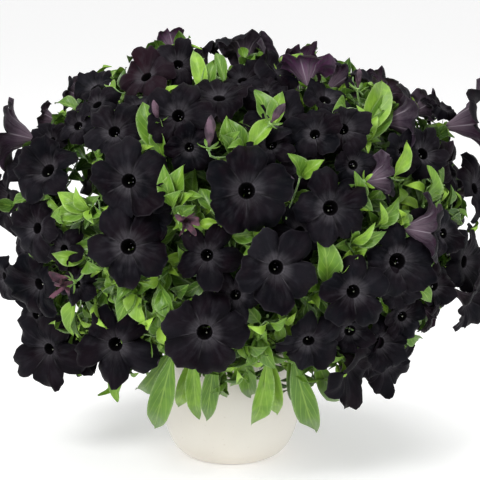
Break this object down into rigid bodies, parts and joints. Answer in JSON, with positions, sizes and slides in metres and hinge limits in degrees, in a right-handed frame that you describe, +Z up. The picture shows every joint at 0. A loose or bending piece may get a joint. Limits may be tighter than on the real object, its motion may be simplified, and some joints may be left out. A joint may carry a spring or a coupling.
{
  "type": "potted petunia",
  "caption": "Petunia plant with near-black velvety trumpet blooms and soft green leaves in a round dome, grown in a small cream glazed bowl pot.",
  "frame": {"origin": "middle of the pot's flat foot, on the surface that it stands on", "axes": "+Z up along the pot's axis, -Y towards the side that the picture shows, +X to its right"},
  "size_m": [0.4512, 0.4082, 0.3915],
  "materials": {
    "pot": "satin",
    "soil": "matte",
    "foliage": "matte",
    "bloom": "matte"
  },
  "bodies": {
    "root": {"pot": "pot", "soil": "soil", "leafy_stem_1": "foliage", "leafy_stem_2": "foliage", "leafy_stem_3": "foliage", "leafy_stem_4": "foliage", "leafy_stem_5": "foliage", "leafy_stem_6": "foliage", "leafy_stem_7": "foliage", "leafy_stem_8": "foliage", "leafy_stem_9": "foliage", "leafy_stem_10": "foliage", "blooms_1": "bloom", "blooms_2": "bloom", "blooms_3": "bloom", "blooms_4": "bloom", "blooms_5": "bloom", "blooms_6": "bloom", "blooms_7": "bloom", "blooms_8": "bloom", "blooms_9": "bloom", "blooms_10": "bloom", "blooms_11": "bloom", "blooms_12": "bloom", "blooms_13": "bloom", "blooms_14": "bloom", "blooms_15": "bloom", "blooms_16": "bloom", "blooms_17": "bloom", "blooms_18": "bloom", "blooms_19": "bloom", "blooms_20": "bloom", "blooms_21": "bloom", "blooms_22": "bloom", "blooms_23": "bloom", "blooms_24": "bloom", "blooms_25": "bloom", "blooms_26": "bloom", "blooms_27": "bloom", "blooms_28": "bloom", "blooms_29": "bloom", "blooms_30": "bloom", "blooms_31": "bloom", "blooms_32": "bloom", "blooms_33": "bloom", "blooms_34": "bloom", "blooms_35": "bloom", "blooms_36": "bloom", "blooms_37": "bloom", "blooms_38": "bloom", "blooms_39": "bloom", "blooms_40": "bloom", "blooms_41": "bloom", "blooms_42": "bloom", "blooms_43": "bloom", "blooms_44": "bloom", "blooms_45": "bloom", "blooms_46": "bloom", "blooms_47": "bloom"}
  },
  "joints": []
}
